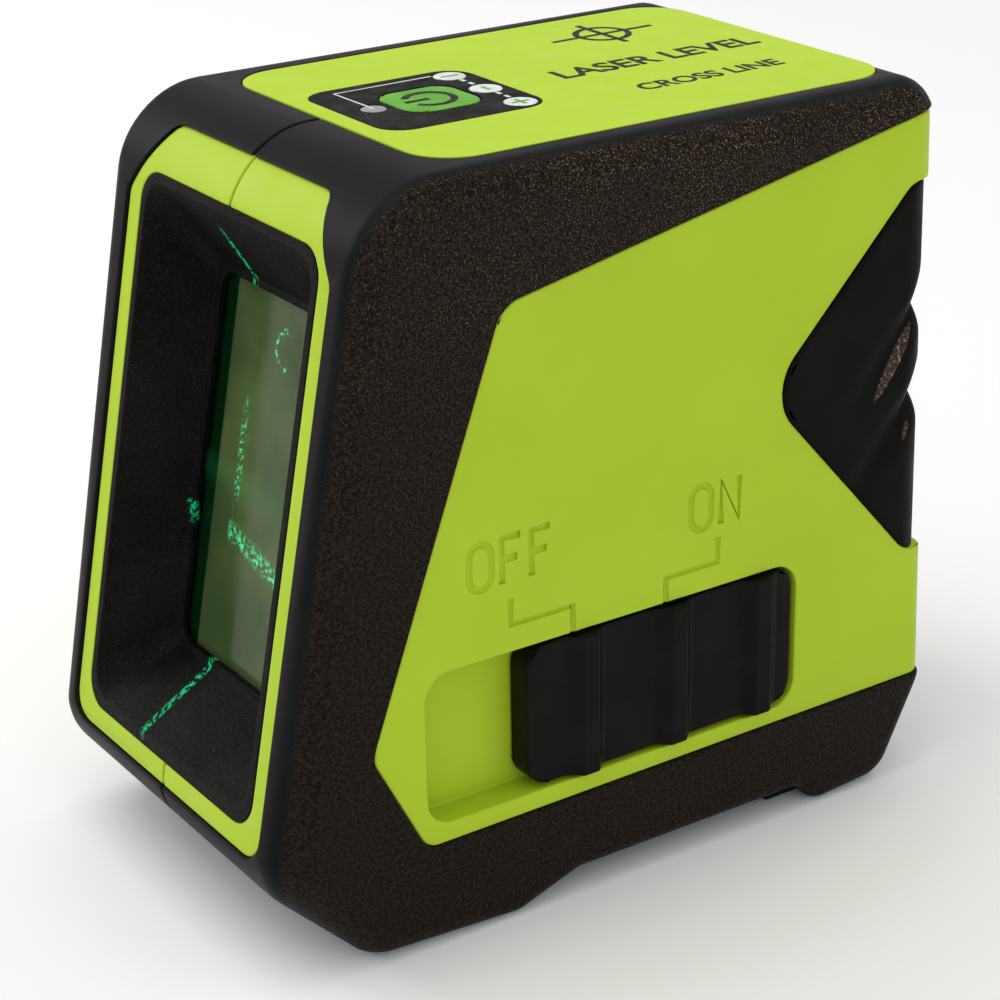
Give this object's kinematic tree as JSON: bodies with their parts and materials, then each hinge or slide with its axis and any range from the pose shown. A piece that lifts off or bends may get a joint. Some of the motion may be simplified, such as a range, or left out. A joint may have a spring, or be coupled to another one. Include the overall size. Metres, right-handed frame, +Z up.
{
  "type": "cross-line laser level",
  "caption": "Compact self-levelling cross-line laser: two-half case with rubber edges, leaning window, slide lock switch, gimballed pendulum, keypad and battery door.",
  "frame": {"origin": "centre of the footprint, on the plane the feet stand on (the switch ribs stand 0.9 mm further out on +X and are the only thing off centre)", "axes": "+Z up, -Y is where the window looks, +X is the side with the slide switch"},
  "size_m": [0.0609, 0.0999, 0.096],
  "materials": {
    "lime_plastic": "fine spark-eroded matt",
    "black_rubber": "soft matt over-moulding",
    "black_plastic": "satin moulded",
    "window_glass": "clear",
    "label_film": "satin printed film",
    "keypad_film": "satin printed film",
    "button_green": "satin printed film over a dome",
    "light_white": "clear satin",
    "light_grey": "clear satin",
    "steel": "plain",
    "brass": "turned",
    "copper": "rolled",
    "zinc_casting": "as cast",
    "circuit_board": "solder mask",
    "cell_sleeve": "plain sleeve"
  },
  "bodies": {
    "housing": {"right_shell": "lime_plastic", "left_shell": "lime_plastic", "right_bumper": "black_rubber", "left_bumper": "black_rubber", "right_grip": "black_rubber", "left_grip": "black_rubber", "window_gasket": "black_rubber", "window_bezel": "black_plastic", "tactile_switch": "black_plastic", "battery_tray": "black_plastic", "window_glass": "window_glass", "top_label": "label_film", "keypad_overlay": "keypad_film", "led_vertical": "light_white", "led_cross": "light_white", "led_horizontal": "light_white", "led_lock": "light_grey", "detent_spring": "steel", "lever_pin": "steel", "pitch_bearing_left": "steel", "pitch_bearing_right": "steel", "door_pin": "steel", "case_screw_1": "steel", "case_screw_2": "steel", "case_screw_3": "steel", "case_screw_4": "steel", "tripod_insert": "brass", "damping_plate": "copper", "pendulum_frame": "zinc_casting", "keypad_board": "circuit_board", "main_board": "circuit_board", "contact_board": "circuit_board", "battery_cell_1": "cell_sleeve", "battery_cell_2": "cell_sleeve", "battery_cell_3": "cell_sleeve"},
    "switch": {"switch_knob": "black_plastic", "switch_carriage": "black_plastic", "carriage_screw_1": "steel", "carriage_screw_2": "steel"},
    "lock_rocker": {"lock_lever": "black_plastic", "lock_pad": "black_rubber"},
    "gimbal": {"gimbal_ring": "zinc_casting", "pitch_pin_left": "steel", "pitch_pin_right": "steel", "roll_bearing_front": "steel", "roll_bearing_rear": "steel"},
    "pendulum": {"pendulum_body": "zinc_casting", "roll_pin_front": "steel", "roll_pin_rear": "steel", "vertical_laser": "brass", "horizontal_laser": "brass", "vertical_lens": "window_glass", "horizontal_lens": "window_glass", "balance_weight": "brass", "damping_magnet": "steel"},
    "button": {"power_button": "button_green"},
    "door": {"battery_door": "black_plastic", "contact_spring_1": "steel", "contact_spring_2": "steel", "contact_spring_3": "steel"}
  },
  "joints": [
    {"name": "switch_slide", "type": "slide", "parent": "housing", "child": "switch", "axis": [0, 1, 0], "range_m": [-0.0134, 0]},
    {"name": "lock_rocker_pivot", "type": "hinge", "parent": "housing", "child": "lock_rocker", "pos_m": [0, 0.012, 0.014], "axis": [1, 0, 0], "range_deg": [0, 40.9]},
    {"name": "gimbal_pitch", "type": "hinge", "parent": "housing", "child": "gimbal", "pos_m": [0, -0.006, 0.074], "axis": [1, 0, 0], "range_deg": [-4, 4]},
    {"name": "pendulum_roll", "type": "hinge", "parent": "gimbal", "child": "pendulum", "pos_m": [0, -0.006, 0.074], "axis": [0, 1, 0], "range_deg": [-4, 4]},
    {"name": "power_button_press", "type": "slide", "parent": "housing", "child": "button", "axis": [0, 0, -1], "range_m": [0, 0.0004], "stiffness_N_per_m": 1000, "springref_m": -0.0002},
    {"name": "battery_door_hinge", "type": "hinge", "parent": "housing", "child": "door", "pos_m": [0, 0.0276, 0.0026], "axis": [-1, 0, 0], "range_deg": [0, 100]}
  ],
  "couplings": [
    {"joint": "lock_rocker_pivot", "follows": "switch_slide", "rad_per_m": -53.18}
  ]
}
